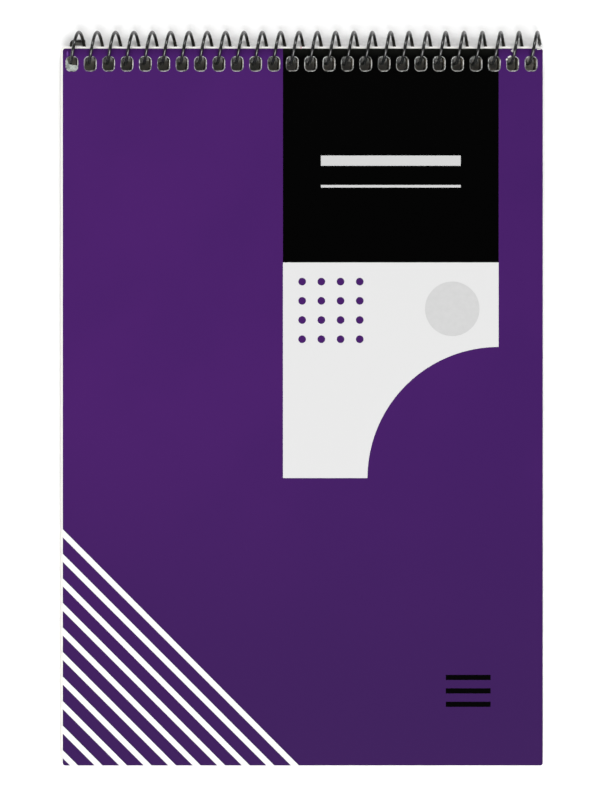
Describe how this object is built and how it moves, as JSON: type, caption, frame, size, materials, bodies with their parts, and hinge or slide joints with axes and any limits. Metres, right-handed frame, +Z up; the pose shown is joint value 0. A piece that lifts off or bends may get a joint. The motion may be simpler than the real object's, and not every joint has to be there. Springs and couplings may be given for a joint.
{
  "type": "spiral notebook",
  "caption": "pocket writing pad bound along its top edge by one wire coil, with a printed front card that turns over the coil, a block of leaves and a stiff back board",
  "frame": {"origin": "on the surface that the coil touches, under the middle of the pad's length and width", "axes": "+X along the coil to the right of the closed pad, +Y from the lower edge to the coil, +Z up out of the front card"},
  "size_m": [0.1512, 0.2298, 0.0109],
  "materials": {
    "cover_card": "smooth printed card, faint sheen",
    "leaf_paper": "uncoated writing paper, ruled",
    "grey_board": "uncoated recycled board",
    "coated_wire": "dark lacquered steel wire",
    "black_ink": "printed field, faint sheen",
    "white_ink": "printed field, faint sheen",
    "grey_ink": "printed field, faint sheen"
  },
  "bodies": {
    "pad": {"back_board": "grey_board", "page_block": "leaf_paper"},
    "wire": {"spiral_wire": "coated_wire"},
    "cover": {"front_cover": "cover_card", "black_print": "black_ink", "white_print": "white_ink", "grey_print": "grey_ink"}
  },
  "joints": [
    {"name": "cover_turn", "type": "hinge", "parent": "pad", "child": "cover", "pos_m": [0, 0.10948, 0.00545], "axis": [-1, 0, 0], "range_deg": [0, 180]},
    {"name": "wire_turn", "type": "hinge", "parent": "pad", "child": "wire", "pos_m": [0, 0.10948, 0.00545], "axis": [-1, 0, 0], "range_deg": [0, 75]}
  ],
  "couplings": [
    {"joint": "wire_turn", "follows": "cover_turn", "ratio": 0.41667}
  ]
}
